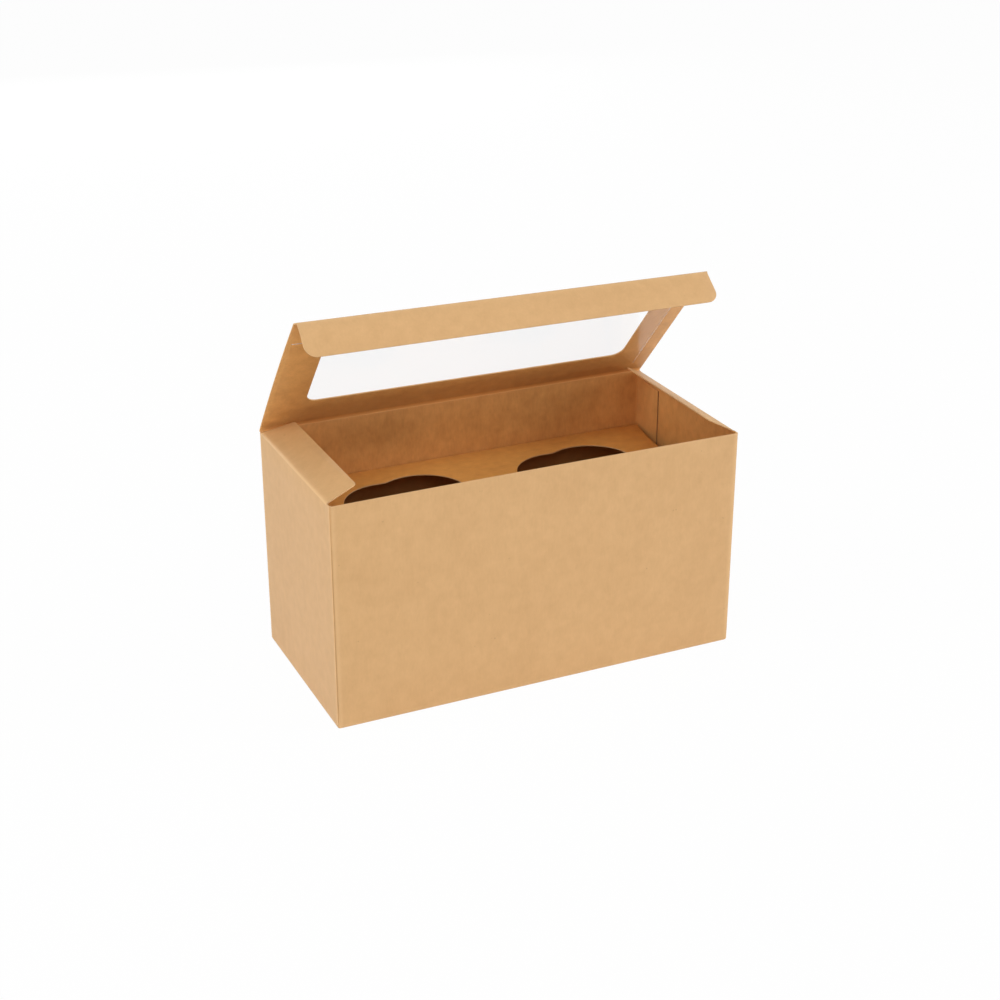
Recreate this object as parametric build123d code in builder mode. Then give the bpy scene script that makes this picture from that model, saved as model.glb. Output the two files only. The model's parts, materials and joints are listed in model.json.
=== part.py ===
from build123d import *
import os
from math import cos, radians, sin, sqrt

# A kraft card box for two cupcakes. The carton is one glued blank: four walls, a lock base, a lid with a
# film window and a tuck flap, and two dust flaps. A folded insert with two cup holes stands inside it.
# The front looks along -Y, the lid is hinged at the back, and the origin is at the middle of the underside.
# Lengths are in millimetres and angles in degrees. The lid is modelled standing open.

os.makedirs("parts", exist_ok=True)

# The carton and its card
box_width = 175.0
box_depth = 83.0
box_height = 95.0
card = 0.5
fold_radius = 0.4
fold_gap = 0.15
rim_gap = 0.3
overrun = 5.0

# The glue tab that closes the wall, at the back of the right wall
tab_width = 18.5
tab_taper = 1.5
tab_end_gap = 1.5

# The lock base: two long flaps that hook past each other over two short flaps
base_hook = 9.0
base_slit = 0.4
base_lap = 7.0
base_short_flap = 34.0
base_short_taper = 20.0
base_short_gap = 3.0

# The lid with its window, and the tuck flap along its front fold
lid_angle = 48.0
window_width = 142.5
window_length = 38.5
window_back_border = 17.5
window_radius = 5.0
tuck_length = 14.6
tuck_fold = 88.0
tuck_radius = 4.8
tuck_side_gap = 0.4
tuck_shoulder = 0.6
tuck_swing_gap = 0.4

# The film glued inside the lid over the window
film_width = 166.5
film_length = 56.7
film_back_border = 7.7
film_shift = -2.2
film_thickness = 0.1

# The dust flaps, which spring up by fixed shares of the lid's angle, the right one a little further
dust_width = 13.4
left_lift_share = 0.5
right_lift_share = 0.6
dust_back_gap = 2.0
dust_front_gap = 0.6
dust_front_slope_share = 0.06
dust_corner_radius = 1.5

# The insert, which stands loose and a little to the right, and its lobed cup holes
insert_height = 69.6
insert_card = 0.5
insert_end_gap = 3.5
insert_side_gap = 0.3
insert_shift = 2.5
insert_end_hollow = 4.7
cup_place_share = 0.462
cup_lobes = 4
cup_turn = 54.5
cup_lobe_radius = 18.7
cup_lobe_offset = 11.1
cup_cusp_radius = 1.5

# Places that follow from the sizes above
half_width = box_width / 2
half_depth = box_depth / 2
inner_half_width = half_width - card
inner_half_depth = half_depth - card
rim_height = box_height - card - rim_gap
lid_axis_y = half_depth - card / 2
lid_axis_z = box_height - card / 2
dust_axis_x = half_width - card / 2
dust_axis_z = rim_height - card / 2
dust_wall_height = dust_axis_z - card / 2 - fold_gap

# The free edge of the folded tuck flap swings just clear of the front wall as the lid shuts
tuck_reach = lid_axis_y + inner_half_depth - card / 2 - tuck_swing_gap
tuck_along = tuck_length * cos(radians(tuck_fold))
tuck_across = tuck_length * sin(radians(tuck_fold))
lid_length = sqrt(tuck_reach**2 - tuck_across**2) - tuck_along
tuck_width = 2 * (inner_half_width - tuck_side_gap)

# A dust flap ends behind the shut tuck flap
dust_front_y = lid_axis_y - lid_length + card / 2 + dust_front_gap
dust_back_y = half_depth - dust_back_gap


def lid_side_plane(origin, angle):
    """Plane of a panel that leans forward from a fold along X, with Y running out from the fold."""
    slope = radians(angle)
    return Plane(origin=origin, x_dir=(1, 0, 0), z_dir=(0, -sin(slope), -cos(slope)))


def round_fold(plane, start, end):
    """Round the folded edge of a panel, from one place to another along the fold."""
    with Locations(plane):
        with Locations(((start + end) / 2, 0, 0)):
            Cylinder(card / 2, end - start, rotation=(0, 90, 0))


# The walls and base of the carton
with BuildPart() as box_body:
    with BuildSketch():
        RectangleRounded(box_width, box_depth, fold_radius + card)
    extrude(amount=rim_height)
    with BuildSketch(Plane.XY.offset(card)):
        RectangleRounded(2 * inner_half_width, 2 * inner_half_depth, fold_radius)
    extrude(amount=box_height, mode=Mode.SUBTRACT)
    fillet(box_body.faces().sort_by(Axis.Z)[0].edges(), card)

    # Each side wall is lower where its dust flap folds in
    with BuildSketch(Plane.XY.offset(dust_wall_height)):
        with Locations((0, (dust_front_y + dust_back_y) / 2)):
            Rectangle(box_width + overrun, dust_back_y - dust_front_y + 2 * rim_gap)
    extrude(amount=overrun, mode=Mode.SUBTRACT)

    # Underneath, the two long flaps hook past each other along a stepped slit
    with BuildSketch():
        for side in (-1, 1):
            with Locations((side * inner_half_width / 2, -side * base_hook)):
                Rectangle(inner_half_width + base_slit, base_slit)
        Rectangle(base_slit, 2 * base_hook + base_slit)
    extrude(amount=card, mode=Mode.SUBTRACT)

    # Inside, their ends lap over and the two short flaps are glued down
    with BuildSketch(Plane.XY.offset(card)):
        Rectangle(2 * inner_half_width, 2 * (base_hook + base_lap))
        for side in (-1, 1):
            wall_x = side * inner_half_width
            tip_x = side * (inner_half_width - base_short_flap)
            root_y = inner_half_depth - base_short_gap
            tip_y = root_y - base_short_taper
            with BuildLine():
                Polyline((wall_x, -root_y), (tip_x, -tip_y), (tip_x, tip_y), (wall_x, root_y), close=True)
            make_face()
    extrude(amount=card)

    # The back wall runs on into a tapered tab, glued inside the right wall
    tab_back = inner_half_depth
    tab_front = inner_half_depth - tab_width
    tab_top = dust_wall_height - tab_end_gap
    with BuildSketch(Plane.YZ.offset(inner_half_width - card)):
        with BuildLine():
            Polyline(
                (tab_back, card),
                (tab_front, card + tab_taper),
                (tab_front, tab_top - tab_taper),
                (tab_back, tab_top),
                close=True,
            )
        make_face()
    extrude(amount=card)
box_body.part.label = "box_body"
export_step(box_body.part, "parts/box_body.step")

# The lid: a frame of card round the window, with a rounded fold at the back wall
lid_plane = lid_side_plane((0, lid_axis_y, lid_axis_z), lid_angle)
lid_panel = lid_length - card / 2 - fold_gap
with BuildPart() as lid:
    with BuildSketch(lid_plane):
        with Locations((0, lid_panel / 2)):
            Rectangle(box_width, lid_panel)
        with Locations((0, window_back_border + window_length / 2)):
            RectangleRounded(window_width, window_length, window_radius, mode=Mode.SUBTRACT)
    extrude(amount=card / 2, both=True)
    round_fold(lid_plane, -half_width, half_width)
lid.part.label = "lid"
export_step(lid.part, "parts/lid.step")

# The clear film, glued to the inside of the lid
with BuildPart() as window_film:
    with BuildSketch(lid_plane.offset(card / 2)):
        with Locations((film_shift, film_back_border + film_length / 2)):
            Rectangle(film_width, film_length)
    extrude(amount=film_thickness)
window_film.part.label = "window_film"
export_step(window_film.part, "parts/window_film.step")

# The tuck flap, folded down along the front of the lid. It is as wide as the lid at the fold, and from a
# small shoulder on it is narrower, to pass between the side walls.
tuck_plane = lid_side_plane(lid_plane.from_local_coords((0, lid_length, 0)), lid_angle - tuck_fold)
with BuildPart() as tuck_flap:
    with BuildSketch(tuck_plane) as tuck_outline:
        with BuildLine():
            Polyline(
                (-half_width, 0),
                (-tuck_width / 2, tuck_shoulder),
                (-tuck_width / 2, tuck_length),
                (tuck_width / 2, tuck_length),
                (tuck_width / 2, tuck_shoulder),
                (half_width, 0),
                close=True,
            )
        make_face()
        fillet(tuck_outline.vertices().group_by(Axis.Y)[-1], tuck_radius)
    extrude(amount=card / 2, both=True)
    round_fold(tuck_plane, -half_width, half_width)
tuck_flap.part.label = "tuck_flap"
export_step(tuck_flap.part, "parts/tuck_flap.step")

# The dust flaps: each sketch runs along its wall and inward over the box. The back end is cut back by the share
# that the flap lifts, so that the lid never meets it.
for name, side, lift_share in (
    ("left_dust_flap", -1, left_lift_share),
    ("right_dust_flap", 1, right_lift_share),
):
    slope = radians(lid_angle * lift_share)
    dust_plane = Plane(
        origin=(side * dust_axis_x, 0, dust_axis_z), x_dir=(0, side, 0), z_dir=(side * sin(slope), 0, cos(slope))
    )
    with BuildPart() as dust_flap:
        with BuildSketch(dust_plane) as dust_outline:
            with BuildLine():
                Polyline(
                    (side * dust_back_y, 0),
                    (side * dust_front_y, 0),
                    (side * (dust_front_y + dust_front_slope_share * dust_width), dust_width),
                    (side * (dust_back_y - lift_share * dust_width), dust_width),
                    close=True,
                )
            make_face()
            fillet(dust_outline.vertices().group_by(Axis.Y)[-1], dust_corner_radius)
        extrude(amount=card / 2, both=True)
        round_fold(dust_plane, *sorted((side * dust_front_y, side * dust_back_y)))
    dust_flap.part.label = name
    export_step(dust_flap.part, f"parts/{name}.step")

# The insert: a deck on a front and a back leg, open at both ends, with a lobed hole for each cupcake and
# with its ends cut hollow
insert_half_length = inner_half_width - insert_end_gap
insert_half_depth = inner_half_depth - insert_side_gap
cup_spacing = 2 * cup_place_share * insert_half_length
leg_height = insert_height - card
with BuildPart() as cupcake_insert:
    with BuildSketch(Plane.YZ.offset(insert_shift)) as insert_outside:
        with Locations((0, card + leg_height / 2)):
            Rectangle(2 * insert_half_depth, leg_height)
        fillet(insert_outside.vertices().group_by(Axis.Y)[-1], fold_radius + insert_card)
    extrude(amount=insert_half_length, both=True)
    with BuildSketch(Plane.YZ.offset(insert_shift)) as insert_inside:
        with Locations((0, card - insert_card + leg_height / 2)):
            Rectangle(2 * (insert_half_depth - insert_card), leg_height)
        fillet(insert_inside.vertices().group_by(Axis.Y)[-1], fold_radius)
    extrude(amount=insert_half_length, both=True, mode=Mode.SUBTRACT)
    with BuildSketch(Plane.XY.offset(insert_height)) as cup_holes:
        with Locations((insert_shift, 0)):
            with GridLocations(cup_spacing, 0, 2, 1):
                with PolarLocations(cup_lobe_offset, cup_lobes, start_angle=cup_turn):
                    Circle(cup_lobe_radius)
        fillet(cup_holes.vertices(), cup_cusp_radius)
    extrude(amount=overrun, both=True, mode=Mode.SUBTRACT)
    with BuildSketch(Plane.XY.offset(insert_height)):
        for side in (-1, 1):
            end_x = insert_shift + side * insert_half_length
            hollow_x = end_x - side * insert_end_hollow
            root_y = insert_half_depth - insert_card
            with BuildLine():
                ThreePointArc((end_x, -root_y), (hollow_x, 0), (end_x, root_y))
                Line((end_x, root_y), (end_x, -root_y))
            make_face()
    extrude(amount=overrun, both=True, mode=Mode.SUBTRACT)
cupcake_insert.part.label = "cupcake_insert"
export_step(cupcake_insert.part, "parts/cupcake_insert.step")
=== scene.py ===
import bmesh
import bpy
import json
from math import atan2, cos, exp, hypot, log, pi, radians, sin, sqrt, tan
from mathutils import Matrix, Vector


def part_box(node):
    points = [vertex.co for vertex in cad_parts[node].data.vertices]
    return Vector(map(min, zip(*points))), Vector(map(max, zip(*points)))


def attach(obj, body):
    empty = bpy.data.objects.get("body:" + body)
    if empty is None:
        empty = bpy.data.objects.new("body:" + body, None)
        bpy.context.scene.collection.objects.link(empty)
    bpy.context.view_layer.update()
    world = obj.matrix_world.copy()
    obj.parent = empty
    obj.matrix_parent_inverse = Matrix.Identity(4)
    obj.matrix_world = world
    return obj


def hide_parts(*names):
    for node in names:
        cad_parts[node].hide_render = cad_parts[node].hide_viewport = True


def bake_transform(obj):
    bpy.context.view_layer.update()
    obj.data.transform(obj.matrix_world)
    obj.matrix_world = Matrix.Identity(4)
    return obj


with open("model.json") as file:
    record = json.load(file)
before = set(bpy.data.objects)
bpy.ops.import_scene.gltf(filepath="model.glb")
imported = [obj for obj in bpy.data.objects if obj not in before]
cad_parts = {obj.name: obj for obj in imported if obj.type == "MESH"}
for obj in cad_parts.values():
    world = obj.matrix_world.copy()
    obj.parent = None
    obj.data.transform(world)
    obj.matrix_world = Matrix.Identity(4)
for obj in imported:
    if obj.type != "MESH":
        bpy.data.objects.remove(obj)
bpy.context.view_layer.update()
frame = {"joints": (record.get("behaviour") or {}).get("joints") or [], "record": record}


# The carton's walls and base: one blank of brown kraft card, creased, folded round and glued at a tab inside
# the right wall, with a lock base underneath. Card is a sheet with a smooth outer side, a duller inner side
# and pale cut edges, and each pressed crease leaves a groove between two small shoulders.
mm = 0.001
card = 0.5 * mm
joints = {joint["name"]: joint for joint in frame["joints"]}
body_high = Vector(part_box("box_body")[1])
mid_half_width = body_high.x - card / 2
mid_half_depth = body_high.y - card / 2
rim_height = body_high.z
close_by = 0.05 * mm
X, Y, Z = Vector((1, 0, 0)), Vector((0, 1, 0)), Vector((0, 0, 1))


def blank_piece(name):
    """Starts an empty piece and opens it in edit mode."""
    bpy.ops.object.select_all(action="DESELECT")
    bpy.ops.mesh.primitive_plane_add(size=1)
    piece = bpy.context.object
    piece.name = name
    bpy.ops.object.mode_set(mode="EDIT")
    bpy.ops.mesh.select_all(action="SELECT")
    bpy.ops.mesh.delete(type="VERT")
    return piece


def open_edit(piece):
    """Makes a piece the only selected one and opens it in edit mode."""
    bpy.ops.object.select_all(action="DESELECT")
    piece.select_set(True)
    bpy.context.view_layer.objects.active = piece
    bpy.ops.object.mode_set(mode="EDIT")


def pick(piece, kind, test):
    """Selects the vertices, edges or faces whose middle passes a test, and counts them."""
    bpy.ops.mesh.select_mode(type={"verts": "VERT", "edges": "EDGE", "faces": "FACE"}[kind])
    bpy.ops.mesh.select_all(action="DESELECT")
    mesh = bmesh.from_edit_mesh(piece.data)
    found = 0
    for element in getattr(mesh, kind):
        corners = [element] if kind == "verts" else list(element.verts)
        middle = sum((corner.co for corner in corners), Vector()) / len(corners)
        if test(middle):
            element.select_set(True)
            found += 1
    bmesh.update_edit_mesh(piece.data)
    return found


def add_rectangle(middle, size, turn=(0, 0, 0)):
    """Adds a flat panel to the open sheet, with its size along the three axes."""
    bpy.ops.mesh.primitive_plane_add(size=1, location=middle, rotation=turn)
    bpy.ops.transform.resize(value=size, center_override=middle)


def slice_sheet(axis, places):
    """Cuts lines across the whole open sheet at places along an axis."""
    for place in places:
        bpy.ops.mesh.select_all(action="SELECT")
        bpy.ops.mesh.bisect(plane_co=axis * place, plane_no=axis)


def spread(low, high, spacing):
    """Even places between two ends, about a spacing apart."""
    count = max(2, round((high - low) / spacing))
    return [low + (high - low) * step / count for step in range(1, count)]


def ramp(value, low, high):
    """Smooth step from 0 to 1."""
    share = min(1.0, max(0.0, (value - low) / (high - low)))
    return share * share * (3 - 2 * share)


class Wire:
    """A socket in a material's node tree. Sums and products of wires and numbers add Math nodes."""

    def __init__(self, tree, socket):
        self.tree = tree
        self.socket = socket

    def node(self, kind, settings=None, inputs=None, output=0):
        """Adds a node with its settings and its sockets' values or links, and gives one of its outputs."""
        made = self.tree.nodes.new(kind)
        for name, value in (settings or {}).items():
            if name == "stops":
                ends = made.color_ramp.elements
                for element, (position, colour) in zip(ends, value):
                    element.position = position
                    element.color = (*colour, 1)
            else:
                setattr(made, name, value)
        for name, value in (inputs or {}).items():
            if isinstance(value, Wire):
                self.tree.links.new(value.socket, made.inputs[name])
            else:
                made.inputs[name].default_value = value
        return Wire(self.tree, made.outputs[output])

    def math(self, operation, first, second):
        """Adds a Math node."""
        return self.node("ShaderNodeMath", {"operation": operation}, {0: first, 1: second})

    def __add__(self, other):
        return self.math("ADD", self, other)

    def __sub__(self, other):
        return self.math("SUBTRACT", self, other)

    def __rsub__(self, other):
        return self.math("SUBTRACT", other, self)

    def __mul__(self, other):
        return self.math("MULTIPLY", self, other)

    __radd__ = __add__
    __rmul__ = __mul__

    def between(self, low, high):
        """0 below low, 1 above high, smooth between them."""
        settings = {"interpolation_type": "SMOOTHSTEP"}
        limits = {"From Min": low, "From Max": high}
        return self.node("ShaderNodeMapRange", settings, {"Value": self, **limits})

    def stretched(self, scale):
        """A vector scaled along each axis."""
        return self.node("ShaderNodeVectorMath", {"operation": "MULTIPLY"}, {0: self, 1: scale})

    def noise(self, scale, detail=2.0):
        """Cloudy noise from 0 to 1 at a place."""
        return self.node("ShaderNodeTexNoise", None, {"Vector": self, "Scale": scale, "Detail": detail})

    def mixed(self, other, share):
        """This colour turning into another by a share."""
        sockets = {0: share, 6: self, 7: other}
        return self.node("ShaderNodeMix", {"data_type": "RGBA"}, sockets, output=2)

    def feed(self, shader, name):
        """Links this wire to a socket of a shader."""
        self.tree.links.new(self.socket, shader.inputs[name])


def start_material(name):
    """A new material, its shader, and a wire to where each point of the piece lies at rest."""
    material = bpy.data.materials.new(name)
    material.use_nodes = True
    tree = material.node_tree
    shader = next(node for node in tree.nodes if node.type == "BSDF_PRINCIPLED")
    place = Wire(tree, None).node("ShaderNodeAttribute", {"attribute_name": "rest_place"}, output=1)
    return material, shader, place


def toned(tone, factors):
    """A tone with each channel changed by its factor."""
    return tuple(min(1.0, channel * factor) for channel, factor in zip(tone, factors))


def kraft_card(name, tone, grain, contrast, roughness):
    """Kraft card of one tone: cloudy pulp, fibre streaks along the grain, a few dark flecks, and creases that
    are paler where the card is stretched. A crease value below 0 darkens the card with painted shade."""
    material, shader, place = start_material(name)
    along_grain = place.stretched(grain)
    cloud = place.noise(30.0)
    mottle = place.noise(230.0, detail=3.0)
    streak = along_grain.noise(330.0)
    fibre = along_grain.noise(1300.0)
    fleck = place.noise(420.0, detail=1.0).between(0.79, 0.83)
    crease = place.node("ShaderNodeAttribute", {"attribute_name": "crease"}, output=2)
    middle = 0.5
    shade = middle + contrast * (
        0.5 * (cloud - middle) + (mottle - middle) + 0.35 * (streak - middle) + 0.6 * (fibre - middle)
    )
    dark = toned(tone, (0.84, 0.80, 0.74))
    light = toned(tone, (1.14, 1.18, 1.24))
    pale = toned(tone, (1.25, 1.38, 1.6))
    deep = toned(tone, (0.5, 0.42, 0.34))
    fleck_share, roughness_spread = 0.3, 0.12
    colour = shade.node("ShaderNodeValToRGB", {"stops": [(0.0, dark), (1.0, light)]}, {"Fac": shade})
    colour = colour.mixed((*deep, 1), fleck_share * fleck)
    colour = colour.mixed((*pale, 1), crease)
    # Below 0 the crease value darkens the card towards the deep tone: painted shade
    colour = colour.mixed((*deep, 1), 0 - crease)
    colour.feed(shader, "Base Color")
    (roughness + roughness_spread * (fibre - middle)).feed(shader, "Roughness")
    relief = 0.6 * fibre + 0.8 * mottle
    bump = {"Strength": 0.12, "Distance": 0.08 * mm, "Height": relief}
    place.node("ShaderNodeBump", None, bump).feed(shader, "Normal")
    shader.inputs["Specular IOR Level"].default_value = 0.5
    return material


upright_grain = (1.0, 1.0, 0.3)
outside_tone = (0.665, 0.394, 0.170)
inside_tone = (0.720, 0.362, 0.112)
edge_tone = (0.700, 0.435, 0.205)
wall_card = [
    kraft_card("carton_outside", outside_tone, upright_grain, contrast=0.52, roughness=0.52),
    kraft_card("carton_inside", inside_tone, upright_grain, contrast=1.15, roughness=0.52),
    kraft_card("carton_cut_edge", edge_tone, upright_grain, contrast=0.6, roughness=0.85),
]


def note_places(piece, crease_at):
    """Notes on each point where it lies on the sheet at rest, and its crease value: paleness from a crease,
    painted shade below 0, and on the film a painted highlight.
    """
    piece.data.attributes.new("rest_place", "FLOAT_VECTOR", "POINT")
    piece.data.attributes.new("crease", "FLOAT", "POINT")
    rest, crease = (piece.data.attributes[name].data for name in ("rest_place", "crease"))
    for vertex in piece.data.vertices:
        rest[vertex.index].vector = vertex.co
        crease[vertex.index].value = crease_at(vertex.co)


edge_softness, edge_angle, smooth_angle = 0.07 * mm, radians(65), radians(38)


def finish_card(piece, materials, crease_at):
    """Gives an open sheet its thickness, two sides and cut edges, then notes its rest places and creases."""
    bpy.ops.object.mode_set(mode="OBJECT")
    for material in materials:
        piece.data.materials.append(material)
    thickness = piece.modifiers.new("thickness", "SOLIDIFY")
    thickness.thickness = card
    thickness.offset = 0
    thickness.use_even_offset = True
    thickness.material_offset = 1
    thickness.material_offset_rim = 2
    bpy.ops.object.modifier_apply(modifier=thickness.name)
    softened = piece.modifiers.new("softened_edges", "BEVEL")
    softened.width = edge_softness
    softened.segments = 2
    softened.limit_method = "ANGLE"
    softened.angle_limit = edge_angle
    bpy.ops.object.modifier_apply(modifier=softened.name)
    bpy.ops.object.shade_smooth_by_angle(angle=smooth_angle)
    note_places(piece, crease_at)


corner_round = 0.8 * mm
base_round = 0.45 * mm
groove, groove_foot = 0.32 * mm, 4 * corner_round
sheet_spacing = 9 * mm
bpy.ops.object.select_all(action="DESELECT")
wall_middle = (rim_height + card / 2) / 2
wall_size = (2 * mid_half_width, 2 * mid_half_depth, rim_height - card / 2)
bpy.ops.mesh.primitive_cube_add(size=1, location=(0, 0, wall_middle), scale=wall_size)
walls = bpy.context.object
walls.name = "carton_walls"
bpy.ops.object.transform_apply(location=True, rotation=False, scale=True)
open_edit(walls)
pick(walls, "faces", lambda at: at.z > rim_height - card)
bpy.ops.mesh.delete(type="FACE")
pick(walls, "edges", lambda at: abs(at.x) > mid_half_width - card and abs(at.y) > mid_half_depth - card)
bpy.ops.mesh.bevel(offset=corner_round, segments=4, affect="EDGES", clamp_overlap=False)
pick(walls, "edges", lambda at: at.z < card)
bpy.ops.mesh.bevel(offset=base_round, segments=3, affect="EDGES", clamp_overlap=False)


def corner_depths(at):
    """How far a point lies past the start of a corner's round, along the width and along the depth."""
    return abs(at.x) - mid_half_width + corner_round, abs(at.y) - mid_half_depth + corner_round


def in_groove(at, side_x, side_y):
    """Whether a point is on the middle line of one corner's round, above the base."""
    across, along = corner_depths(at)
    same_corner = at.x * side_x > 0 and at.y * side_y > 0
    on_middle = across > 0 and abs(across - along) < close_by
    return same_corner and on_middle and at.z > groove_foot - corner_round


slice_sheet(Z, [groove_foot])
for side_x in (-1, 1):
    for side_y in (-1, 1):
        pick(walls, "verts", lambda at: in_groove(at, side_x, side_y))
        bpy.ops.transform.translate(value=(-side_x * groove, -side_y * groove, 0))

# Lines for the creases, for the gentle warp of the panels, and for the lower rim under each dust flap
dust_low, dust_high = (Vector(corner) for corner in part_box("left_dust_flap"))
notch_gap, fold_gap = 0.3 * mm, 0.15 * mm
notch_front, notch_back = dust_low.y - notch_gap, dust_high.y + notch_gap
notch_height = joints["left_dust_flap_hinge"]["pos_m"][2] - card / 2 - fold_gap
crease_reach = 2.2 * mm
slice_sheet(X, spread(-mid_half_width, mid_half_width, sheet_spacing))
slice_sheet(X, [side * (mid_half_width - crease_reach) for side in (-1, 1)])
slice_sheet(Y, spread(-mid_half_depth, mid_half_depth, sheet_spacing))
slice_sheet(Y, [side * (mid_half_depth - crease_reach) for side in (-1, 1)])
slice_sheet(Y, [notch_front, notch_back])
slice_sheet(Z, spread(card, rim_height, sheet_spacing))
slice_sheet(Z, [notch_height, crease_reach])
pick(
    walls,
    "faces",
    lambda at: at.z > notch_height and notch_front < at.y < notch_back and abs(at.x) > mid_half_width - card,
)
bpy.ops.mesh.delete(type="FACE")

# The stepped slit where the long base flaps hook past each other
hook, slit = 9 * mm, 0.4 * mm
slice_sheet(Y, [side * hook + edge * slit / 2 for side in (-1, 1) for edge in (-1, 1)])
slice_sheet(X, [edge * slit / 2 for edge in (-1, 1)])


def in_base_slit(at):
    """Whether a point is in the slit: a run along each half of the base, and the step between the two."""
    on_base = at.z < card and abs(at.x) < mid_half_width - corner_round
    on_run = at.x * at.y < 0 and abs(abs(at.y) - hook) < slit / 2
    on_step = abs(at.x) < slit / 2 and abs(at.y) < hook + slit
    return on_base and (on_run or on_step)


pick(walls, "faces", in_base_slit)
bpy.ops.mesh.delete(type="FACE")

# The lap behind the slit, the two short base flaps, and the tapered glue tab inside the right wall
inner_half_width, inner_half_depth = body_high.x - card, body_high.y - card
lap = 16 * mm
second_layer, layer_lift = 1.5 * card, 0.01 * mm
add_rectangle((0, 0, second_layer), (2 * inner_half_width, 2 * lap, 1))
short_flap, short_taper, short_gap = 34 * mm, 20 * mm, 3 * mm
for side in (-1, 1):
    flap_middle = (side * (inner_half_width - short_flap / 2), 0, second_layer + layer_lift)
    add_rectangle(flap_middle, (short_flap, 2 * (inner_half_depth - short_gap), 1))
    for end in (-1, 1):
        tip_x, tip_y = side * (inner_half_width - short_flap), end * (inner_half_depth - short_gap)
        tip = Vector((tip_x, tip_y, second_layer))
        pick(walls, "verts", lambda at: (at - tip).length < close_by)
        bpy.ops.transform.translate(value=(0, -end * short_taper, 0))
tab_width, tab_taper, tab_end_gap = 18.5 * mm, 1.5 * mm, 1.5 * mm
tab_top = notch_height - tab_end_gap
tab_x = body_high.x - 1.5 * card
tab_middle = (tab_x, inner_half_depth - tab_width / 2, (card + tab_top) / 2)
add_rectangle(tab_middle, (1, tab_width, tab_top - card), (0, pi / 2, 0))
for end, end_z in ((1, card), (-1, tab_top)):
    corner = Vector((tab_x, inner_half_depth - tab_width, end_z))
    pick(walls, "verts", lambda at: (at - corner).length < close_by)
    bpy.ops.transform.translate(value=(0, 0, end * tab_taper))
tab_front = inner_half_depth - tab_width
tab_edge_band, tab_root_band = 0.6 * mm, 0.9 * mm
slice_sheet(Y, [tab_front + tab_edge_band, inner_half_depth - tab_root_band])
bpy.ops.object.mode_set(mode="OBJECT")

# The free front edge bows in a little, as an unsupported card panel does
front_bow, bow_foot, bow_head = 0.7 * mm, 0.15 * rim_height, 1.15 * rim_height
for vertex in walls.data.vertices:
    if vertex.co.y < -mid_half_depth + card:
        along = 1 - (vertex.co.x / mid_half_width) ** 2
        vertex.co.y += front_bow * along * ramp(vertex.co.z, bow_foot, bow_head)


# How pale, or if below 0 how dark, the folds and the glue tab's edge are: pale is stretched card, dark is
# painted shade in the upright grooves and a painted shadow at the tab's edge
tab_edge_painted_shadow, tab_pale, tab_edge_reach = -1.0, 0.15, 0.2 * mm
groove_painted_shade, groove_pale, shoulder_pale = -0.55, 0.6, 0.32
groove_spread = radians(8)
groove_starts, groove_ends = (4 * mm, 8 * mm), (66 * mm, 84 * mm)


def wall_crease(at):
    """Stretched card along the folds, painted shade on the outside along the groove in the middle of each
    upright one, and a painted shadow under the edge of the glue tab."""
    across, along = corner_depths(at)
    low = 1 - ramp(at.z, 0.3 * mm, 1.2 * mm)
    if abs(at.x - tab_x) < card and tab_front - card < at.y < inner_half_depth - 2 * card:
        return tab_edge_painted_shadow if at.y < tab_front + tab_edge_reach else tab_pale
    # The middle line of each upright round: pale on the inner side, painted shade on the outer side, fading
    # out near the base and the rim
    if across > 0 and along > 0 and abs(atan2(along, across) - pi / 4) < groove_spread:
        inside = hypot(across, along) < corner_round - 1.4 * groove
        upward = ramp(at.z, *groove_starts) * (1 - ramp(at.z, *groove_ends))
        return groove_pale if inside else groove_painted_shade * upward
    past_corner = hypot(min(0.0, across), min(0.0, along))
    upright = 1 - ramp(past_corner, 0.2 * mm, 1.6 * mm)
    return shoulder_pale * max(upright, low)


open_edit(walls)
finish_card(walls, wall_card, wall_crease)
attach(walls, "carton")
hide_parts("box_body")


# The lid: the top panel of the same blank, with a window cut out of it. It turns at a pressed crease along
# the top of the back wall, so its sheet runs round the fold and ends on the wall.
lid_axis = Vector(joints["lid_hinge"]["pos_m"])
lid_angle = -radians(joints["lid_hinge"]["range_deg"][0])
tuck_axis = Vector(joints["tuck_flap_hinge"]["pos_m"])
lid_length = (tuck_axis - lid_axis).length
crease_radius = 0.9 * mm
on_line, merge_reach = 0.01 * mm, 0.004 * mm


def panel_frame(origin, out, inner_side):
    """Where a panel lies: X along its fold, Y out from the fold, Z to the side that faces into the box."""
    along = out.cross(inner_side)
    return Matrix.Translation(origin) @ Matrix((along, out, inner_side)).transposed().to_4x4()


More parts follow.
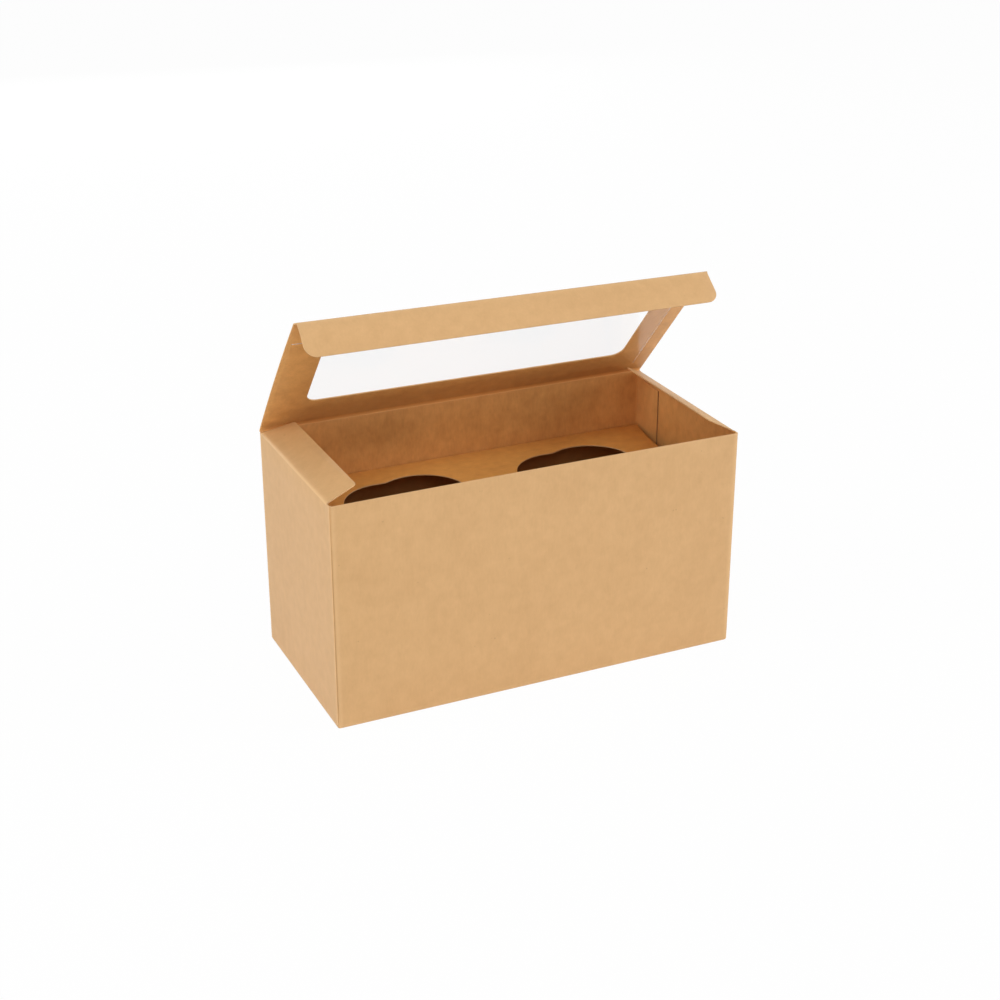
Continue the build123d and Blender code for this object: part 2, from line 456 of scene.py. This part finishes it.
def hinged_sheet(name, width, length, slants, roundness, bend, lead, lines, root_width=0, window=None):
    """A flat sheet that runs out along Y from a rounded fold, which turns towards its inner side at Y = 0.

    slants moves its two far corners along X and roundness rounds them. bend is the turn of the fold, and lead
    the straight bit of sheet beyond it. lines are the places along Y of lines across the sheet. root_width is
    the width that the sheet reaches round the fold. window is the width, near end, far end and corner radius
    of a hole."""
    start = crease_radius * tan(bend / 2)
    sheet = blank_piece(name)
    add_rectangle((0, (start + length) / 2, 0), (width, length - start, 1))
    for side, slant in zip((-1, 1), slants):
        pick(sheet, "verts", lambda at: at.y > length - card and at.x * side > 0)
        bpy.ops.transform.translate(value=(slant, 0, 0))
    if roundness:
        pick(sheet, "verts", lambda at: at.y > length - card)
        bpy.ops.mesh.bevel(offset=roundness, segments=8, affect="VERTICES", clamp_overlap=False)
    if window:
        hole_width, hole_near, hole_far, hole_round = window
        add_rectangle((0, (hole_near + hole_far) / 2, 0), (hole_width, hole_far - hole_near, 1))
        bpy.ops.mesh.bevel(offset=hole_round, segments=8, affect="VERTICES", clamp_overlap=False)
        bpy.ops.mesh.select_all(action="SELECT")
        bpy.ops.mesh.delete(type="ONLY_FACE")
        bpy.ops.mesh.select_all(action="SELECT")
        bpy.ops.mesh.fill(use_beauty=True)
    slice_sheet(Y, lines)
    pick(sheet, "edges", lambda at: abs(at.y - start) < on_line)
    bpy.ops.mesh.spin(steps=5, angle=bend, center=(0, start, crease_radius), axis=(1, 0, 0))
    if lead > 0:
        bpy.ops.mesh.extrude_region_move(
            TRANSFORM_OT_translate={"value": (0, -lead * cos(bend), lead * sin(bend))}
        )
    bpy.ops.mesh.select_all(action="SELECT")
    bpy.ops.mesh.remove_doubles(threshold=merge_reach)
    bpy.ops.mesh.normals_make_consistent(inside=False)
    bpy.ops.object.mode_set(mode="OBJECT")
    if root_width:
        fold_rise = crease_radius * (1 - cos(bend))
        for vertex in sheet.data.vertices:
            vertex.co.x *= 1 + (root_width / width - 1) * min(1.0, vertex.co.z / fold_rise)
    facing = sum(face.normal.z * face.area for face in sheet.data.polygons)
    if facing > 0:
        open_edit(sheet)
        bpy.ops.mesh.select_all(action="SELECT")
        bpy.ops.mesh.flip_normals()
        bpy.ops.object.mode_set(mode="OBJECT")
    return sheet


lid_out = Vector((0, -cos(lid_angle), sin(lid_angle)))
lid_inner = Vector((0, -sin(lid_angle), -cos(lid_angle)))
lid_frame = panel_frame(lid_axis, lid_out, lid_inner)
lid_bend = pi / 2 - lid_angle
lid_lead = lid_axis.z - crease_radius * tan(lid_bend / 2) - rim_height
tuck_fold = radians(joints["tuck_flap_hinge"]["range_deg"][1])
tuck_start = crease_radius * tan(tuck_fold / 2)
lid_width = 2 * body_high.x
lid_end = lid_length - tuck_start
window_width, window_near, window_far, window_round = 142.5 * mm, 17.5 * mm, 56.0 * mm, 5 * mm
crease_line, crease_end, front_line = 1.2 * mm, 2.5 * mm, lid_end - 2 * mm
lid_lines = [crease_line, crease_end, *spread(crease_end, front_line, sheet_spacing), front_line]
lid = hinged_sheet(
    "lid_panel",
    lid_width,
    lid_end,
    slants=(0, 0),
    roundness=0,
    bend=lid_bend,
    lead=lid_lead,
    lines=lid_lines,
    window=(window_width, window_near, window_far, window_round),
)
# Painted shade in a band beside the hinge on the lid's inner side: where along the width it fades in from the
# left end, and how dark it is
band_start, band_full, hinge_painted_shade = -84 * mm, -66 * mm, 0.42
open_edit(lid)
slice_sheet(X, [band_start, *spread(band_start, lid_width / 2, sheet_spacing)])
bpy.ops.object.mode_set(mode="OBJECT")
lid.data.transform(lid_frame)
lid_bow, lid_twist = 0.8 * mm, 2.4 * mm


def lid_rise(at):
    """How far the sprung card of the lid stands out at a point: most at the left, not at all at the right."""
    along = min(1.0, max(0.0, (at - lid_axis).dot(lid_out) / lid_length))
    leftward = (body_high.x - at.x) / lid_width
    return leftward * along * (4 * lid_bow * (1 - along) + lid_twist)


def warp_lid(piece):
    """Moves a piece of the lid out with the warp of the card."""
    for vertex in piece.data.vertices:
        vertex.co -= lid_inner * lid_rise(vertex.co)


def from_fold(at, axis):
    """How far a point of the lid was from a fold before the warp."""
    place = at + lid_inner * lid_rise(at) - axis
    return hypot(place.y, place.z)


def lid_crease(at):
    """Stretched card round the fold, and painted shade in a band beside it on the inside, where the hinge is
    in shade, left out at the far left end.
    """
    along, depth = (at - lid_axis).dot(lid_out), (at - lid_axis).dot(lid_inner) + lid_rise(at)
    stretched = 1 - ramp(from_fold(at, lid_axis), 0.9 * mm, 1.7 * mm)
    band = ramp(along, 1.0 * mm, 2.4 * mm) * (1 - ramp(along, 8 * mm, 22 * mm)) if depth > 0 else 0
    return stretched - hinge_painted_shade * band * ramp(at.x, band_start, band_full)


warp_lid(lid)
open_edit(lid)
finish_card(lid, wall_card, lid_crease)
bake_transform(lid)
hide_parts("lid")


# The tuck flap: the end of the lid, folded down at a crease to slip behind the front wall. Its free corners
# are cut round, and the card has curled inwards towards the left end.
tuck_angle = lid_angle - tuck_fold
tuck_out = Vector((0, -cos(tuck_angle), sin(tuck_angle)))
tuck_inner = Vector((0, -sin(tuck_angle), -cos(tuck_angle)))
tuck_length, tuck_round = 14.6 * mm, 4.8 * mm
tuck_side_gap = 0.9 * mm
tuck_width = lid_width - 2 * tuck_side_gap
left_curl, right_curl = radians(10), radians(-1.5)
curl_start, curl_soft = 2.5 * mm, 3.0 * mm
tuck_lines = [crease_line, *spread(1.5 * mm, 6.5 * mm, 1.0 * mm), 8.5 * mm]
tuck = hinged_sheet(
    "tuck_flap_panel",
    tuck_width,
    tuck_length,
    slants=(0, 0),
    roundness=tuck_round,
    bend=tuck_fold,
    lead=0.0,
    lines=tuck_lines,
    root_width=lid_width,
)
open_edit(tuck)
slice_sheet(X, spread(-lid_width / 2, lid_width / 2, sheet_spacing))
bpy.ops.object.mode_set(mode="OBJECT")
for vertex in tuck.data.vertices:
    leftward = 0.5 - vertex.co.x / lid_width
    curl = right_curl + (left_curl - right_curl) * leftward
    past_start = max(0.0, vertex.co.y - curl_start)
    soft = min(past_start, curl_soft)
    vertex.co.z += tan(curl) * (past_start - soft + soft**2 / (2 * curl_soft))
tuck.data.transform(panel_frame(tuck_axis, tuck_out, tuck_inner))
warp_lid(tuck)


def tuck_crease(at):
    """Card that is a little stretched round the front fold of the lid."""
    return 0.35 * (1 - ramp(from_fold(at, tuck_axis), 0.7 * mm, 1.4 * mm))


open_edit(tuck)
finish_card(tuck, wall_card, tuck_crease)
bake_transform(tuck)
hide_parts("tuck_flap")


# The dust flaps: short flaps on the side walls that lie under the shut lid and spring up as it opens. Both
# ends are cut on a slant to pass the lid and the tuck flap.
dust_width = 13.4 * mm
lift_shares = {c["joint"]: c["ratio"] for c in frame["record"]["behaviour"]["couplings"]}
dust_round = 1.5 * mm
front_slope = 0.06
for side, name in ((-1, "left_dust_flap"), (1, "right_dust_flap")):
    axis = Vector(joints[name + "_hinge"]["pos_m"])
    lift_share = lift_shares[name + "_hinge"]
    dust_angle = lid_angle * lift_share
    dust_bend = pi / 2 - dust_angle
    low, high = (Vector(corner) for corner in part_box(name))
    out = Vector((-side * cos(dust_angle), 0, sin(dust_angle)))
    inner = Vector((-side * sin(dust_angle), 0, -cos(dust_angle)))
    length, middle = high.y - low.y, (high.y + low.y) / 2
    place = panel_frame(Vector((axis.x, middle, axis.z)), out, inner)
    lead = axis.z - crease_radius * tan(dust_bend / 2) - notch_height
    lines = [crease_line, 2.2 * mm, 6 * mm, 9 * mm]
    back_slant, front_slant = lift_share * dust_width, front_slope * dust_width
    slants = (back_slant, -front_slant) if place.col[0].y < 0 else (front_slant, -back_slant)
    flap = hinged_sheet(name + "_panel", length, dust_width, slants, dust_round, dust_bend, lead, lines)
    flap.data.transform(place)

    def dust_crease(at):
        """Card that is stretched round the fold at the side wall."""
        return 0.5 * (1 - ramp(hypot(at.x - axis.x, at.z - axis.z), 0.6 * mm, 1.6 * mm))

    open_edit(flap)
    finish_card(flap, wall_card, dust_crease)
    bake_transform(flap)
    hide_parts(name)


# The insert: a strip of like card folded into a deck on two legs, with a lobed hole punched for each cupcake
# and its ends cut hollow. It stands loose in the carton.
insert_low, insert_high = (Vector(corner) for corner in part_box("cupcake_insert"))
deck_height = insert_high.z - card / 2
deck_middle = (insert_low.x + insert_high.x) / 2
deck_half_length, deck_half_depth = (insert_high.x - insert_low.x) / 2, insert_high.y - card / 2
end_hollow = 4.7 * mm
cup_place = 0.462 * deck_half_length
lobes, lobe_turn, lobe_radius, lobe_offset = 4, radians(54.5), 18.7 * mm, 11.1 * mm
cusp_softness = 0.8 * mm
deck_fold = 0.8 * mm
flat_half_depth = deck_half_depth - deck_fold


def lobed_reach(angle):
    """How far a cup hole reaches from its middle, with the points between its lobes a little rounded off."""
    total = 0.0
    for lobe in range(lobes):
        turn = angle - lobe_turn - 2 * pi * lobe / lobes
        reach = lobe_offset * cos(turn) + sqrt(lobe_radius**2 - (lobe_offset * sin(turn)) ** 2)
        total += exp(reach / cusp_softness)
    return cusp_softness * log(total)


insert = blank_piece("insert_card")
add_rectangle((deck_middle, 0, deck_height), (2 * deck_half_length, 2 * flat_half_depth, 1))
bpy.ops.mesh.delete(type="ONLY_FACE")
pick(insert, "edges", lambda at: abs(at.y) < card)
bpy.ops.mesh.subdivide(number_cuts=23)
mesh = bmesh.from_edit_mesh(insert.data)
for vertex in mesh.verts:
    hollow = end_hollow * (1 - (vertex.co.y / flat_half_depth) ** 2)
    vertex.co.x -= hollow if vertex.co.x > deck_middle else -hollow
bmesh.update_edit_mesh(insert.data)
hole_points = 120
for side in (-1, 1):
    centre = Vector((deck_middle + side * cup_place, 0, deck_height))
    bpy.ops.mesh.primitive_circle_add(vertices=hole_points, radius=lobe_offset, location=centre)
    mesh = bmesh.from_edit_mesh(insert.data)
    for vertex in (v for v in mesh.verts if v.select):
        spoke = (vertex.co - centre).normalized()
        vertex.co = centre + spoke * lobed_reach(atan2(spoke.y, spoke.x))
    bmesh.update_edit_mesh(insert.data)
bpy.ops.mesh.select_all(action="SELECT")
bpy.ops.mesh.fill(use_beauty=True)
leg_drop = Vector((0, 0, insert_low.z - deck_height + deck_fold))
for side in (-1, 1):
    pick(insert, "edges", lambda at: at.y * side > flat_half_depth - on_line)
    fold_centre = (0, side * flat_half_depth, deck_height - deck_fold)
    bpy.ops.mesh.spin(steps=4, angle=side * pi / 2, center=fold_centre, axis=(1, 0, 0))
    bpy.ops.mesh.extrude_region_move(TRANSFORM_OT_translate={"value": leg_drop})
bpy.ops.mesh.select_all(action="SELECT")
bpy.ops.mesh.remove_doubles(threshold=merge_reach)
bpy.ops.mesh.normals_make_consistent(inside=False)
bpy.ops.object.mode_set(mode="OBJECT")
if sum(face.normal.z * face.area for face in insert.data.polygons) < 0:
    open_edit(insert)
    bpy.ops.mesh.select_all(action="SELECT")
    bpy.ops.mesh.flip_normals()


def deck_crease(at):
    """Card that is a little stretched along the folds of the deck."""
    outward = ramp(abs(at.y), deck_half_depth - 1.5 * mm, deck_half_depth)
    return 0.3 * outward * ramp(at.z, 66 * mm, 68 * mm)


deck_grain = (0.3, 1.0, 1.0)
insert_tone = (0.665, 0.312, 0.070)
# The inside of the insert, seen through the cup holes and the hollow ends, is a darker copy of its card:
# painted shade
insert_inner_painted_shade_tone = (0.400, 0.185, 0.055)
insert_edge_tone = (0.700, 0.420, 0.190)
insert_card = [
    kraft_card("insert_outside", insert_tone, deck_grain, contrast=1.0, roughness=0.58),
    kraft_card("insert_inside", insert_inner_painted_shade_tone, deck_grain, contrast=1.0, roughness=0.60),
    kraft_card("insert_cut_edge", insert_edge_tone, deck_grain, contrast=0.6, roughness=0.85),
]
open_edit(insert)
finish_card(insert, insert_card, deck_crease)
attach(insert, "carton")
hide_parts("cupcake_insert")


# The window film: thin clear film, glued by its border to the inside of the lid. It is glossy and not quite
# flat, and its cut rim shows as a pale line: a white painted highlight, strongest at the front and right
# edges.
film_width, film_length, film_border, film_shift = 166.5 * mm, 56.7 * mm, 7.7 * mm, -2.2 * mm
film_thickness, film_gap, film_rim = 0.1 * mm, 0.06 * mm, 0.7 * mm
rim_reach = 0.4 * film_rim
film = blank_piece("window_film_sheet")
film_middle = Vector((film_shift, film_border + film_length / 2, (card + film_thickness) / 2 + film_gap))
add_rectangle(film_middle, (film_width, film_length, 1))
for axis, middle, size in ((X, film_middle.x, film_width), (Y, film_middle.y, film_length)):
    inside = size / 2 - film_rim
    low, high = middle - inside, middle + inside
    slice_sheet(axis, [low, *spread(low, high, sheet_spacing), high])
bpy.ops.object.mode_set(mode="OBJECT")
film.data.transform(lid_frame)
warp_lid(film)
thickness = film.modifiers.new("thickness", "SOLIDIFY")
thickness.thickness = film_thickness
thickness.offset = 0
bpy.ops.object.modifier_apply(modifier=thickness.name)


def film_line(at):
    """How much painted highlight the cut rim of the film gets: most at its front and right edges."""
    across = at.x - film_shift
    along = (at - lid_axis).dot(lid_out) - film_middle.y
    on_side = abs(across) > film_width / 2 - rim_reach
    on_end = abs(along) > film_length / 2 - rim_reach
    if on_end and along > 0:
        return 1.0
    return 0.5 if on_side and across > 0 else 0.0


note_places(film, film_line)
film_material, film_shader, film_place = start_material("clear_window_film")
ripple = film_place.stretched((1.0, 0.35, 0.35)).noise(38.0, 1.0)
haze = film_place.stretched((1.0, 0.3, 0.3)).noise(120.0, 2.0)
film_bump = {"Strength": 0.15, "Distance": 0.5 * mm, "Height": ripple}
film_normal = film_place.node("ShaderNodeBump", None, film_bump)
film_normal.feed(film_shader, "Normal")
least_rough, haze_rough = 0.08, 0.12
(least_rough + haze_rough * haze).feed(film_shader, "Roughness")
film_shader.inputs["Base Color"].default_value = (0.95, 0.96, 0.97, 1)
film_shader.inputs["Metallic"].default_value = 1.0
facing = film_place.node("ShaderNodeLayerWeight", None, {"Blend": 0.5, "Normal": film_normal}, output=1)
straight_gloss, glancing_gloss, gloss_power = 0.02, 0.5, 5.0
glance = straight_gloss + glancing_gloss * facing.math("POWER", facing, gloss_power)
clear = film_place.node("ShaderNodeBsdfTransparent", None, {"Color": (1, 1, 1, 1)})
gloss = Wire(film_shader.id_data, film_shader.outputs[0])
glossy_film = film_place.node("ShaderNodeMixShader", None, {0: glance, 1: clear, 2: gloss})
# A white diffuse mixed in along the film's rim: a painted highlight
rim_painted_highlight = film_place.node("ShaderNodeBsdfDiffuse", None, {"Color": (0.9, 0.9, 0.88, 1)})
rim_line = film_place.node("ShaderNodeAttribute", {"attribute_name": "crease"}, output=2)
rim_share = 0.4 * rim_line
rimmed_film = film_place.node("ShaderNodeMixShader", None, {0: rim_share, 1: glossy_film, 2: rim_painted_highlight})
film_output = next(node for node in film_shader.id_data.nodes if node.type == "OUTPUT_MATERIAL")
rimmed_film.feed(film_output, "Surface")
film.data.materials.append(film_material)
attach(film, "lid")
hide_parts("window_film")


# The studio: a white sweep that keeps a faint shadow, soft lamps on both sides, in front, above and behind,
# and the camera where the picture was taken from.
def seen_rays(tree):
    """1 for rays that show a surface straight, in a gloss or through film, and 0 for those that light one."""
    paths = tree.nodes.new("ShaderNodeLightPath")
    kinds = ("Is Camera Ray", "Is Glossy Ray", "Is Transmission Ray")
    straight, glossy, through = (Wire(tree, paths.outputs[kind]) for kind in kinds)
    return straight + glossy + through


white_floor = bpy.data.materials.new("white_sweep")
white_floor.use_nodes = True
floor_tree = white_floor.node_tree
floor_shader = next(node for node in floor_tree.nodes if node.type == "BSDF_PRINCIPLED")
floor_shader.inputs["Base Color"].default_value = (0.88, 0.88, 0.88, 1)
floor_shader.inputs["Roughness"].default_value = 0.9
floor_output = next(node for node in floor_tree.nodes if node.type == "OUTPUT_MATERIAL")
seen = seen_rays(floor_tree)
floor_plain = Wire(floor_tree, floor_shader.outputs[0])
floor_white = seen.node("ShaderNodeEmission", None, {"Color": (1, 1, 1, 1), "Strength": 1.0})
lit_glow, seen_glow = 0.03, 0.945
floor_glow = lit_glow + seen_glow * seen
floor_mix = seen.node("ShaderNodeMixShader", None, {0: floor_glow, 1: floor_plain, 2: floor_white})
floor_mix.feed(floor_output, "Surface")
bpy.ops.mesh.primitive_plane_add(size=6, location=(0, 0, 0))
floor = bpy.context.object
floor.name = "floor"
floor.data.materials.append(white_floor)

world = bpy.data.worlds.new("studio")
bpy.context.scene.world = world
world.use_nodes = True
world_tree = world.node_tree
sky = next(node for node in world_tree.nodes if node.type == "BACKGROUND")
sky_seen = seen_rays(world_tree)
sky_level = 0.09
(sky_level + (1 - sky_level) * sky_seen).feed(sky, "Strength")
sky.inputs["Color"].default_value = (1, 1, 1, 1)


aim_point = Vector((0, 0, 0.07))


def soft_box(name, place, size, power):
    """A soft rectangular lamp at a place, turned to the middle of the box."""
    lamp = bpy.data.lights.new(name, "AREA")
    lamp.shape = "RECTANGLE"
    lamp.size, lamp.size_y = size
    lamp.energy = power
    holder = bpy.data.objects.new(name, lamp)
    bpy.context.scene.collection.objects.link(holder)
    holder.location = place
    holder.rotation_euler = (aim_point - Vector(place)).to_track_quat("-Z", "Y").to_euler()


soft_box("left_soft_box", (-1.1, 0.15, 0.9), (0.9, 0.6), 6.7)
soft_box("low_left_soft_box", (-1.2, -0.8, 0.25), (0.9, 0.4), 4.3)
soft_box("high_left_soft_box", (-1.1, -0.5, 0.9), (0.9, 0.6), 1.9)
soft_box("front_soft_box", (-0.35, -1.1, 1.0), (1.0, 0.7), 3.5)
soft_box("overhead_soft_box", (0.0, -0.1, 1.5), (1.0, 1.0), 3.6)
soft_box("right_soft_box", (1.3, -0.5, 0.7), (0.9, 0.6), 9.2)
soft_box("low_right_soft_box", (1.3, -0.9, 0.12), (1.2, 0.2), 7.2)
soft_box("back_soft_box", (0.2, 1.3, 0.3), (0.8, 0.4), 4.5)

camera_place = Vector((-0.2824, -0.6120, 0.3623))
camera_target = Vector((0.00055, 0, 0.0642))
camera = bpy.data.cameras.new("camera")
camera.lens = 64.6
camera.sensor_width = 36
camera_holder = bpy.data.objects.new("camera", camera)
bpy.context.scene.collection.objects.link(camera_holder)
camera_holder.location = camera_place
camera_holder.rotation_euler = (camera_target - camera_place).to_track_quat("-Z", "Y").to_euler()
bpy.context.scene.camera = camera_holder
bpy.context.scene.view_settings.view_transform = "Standard"
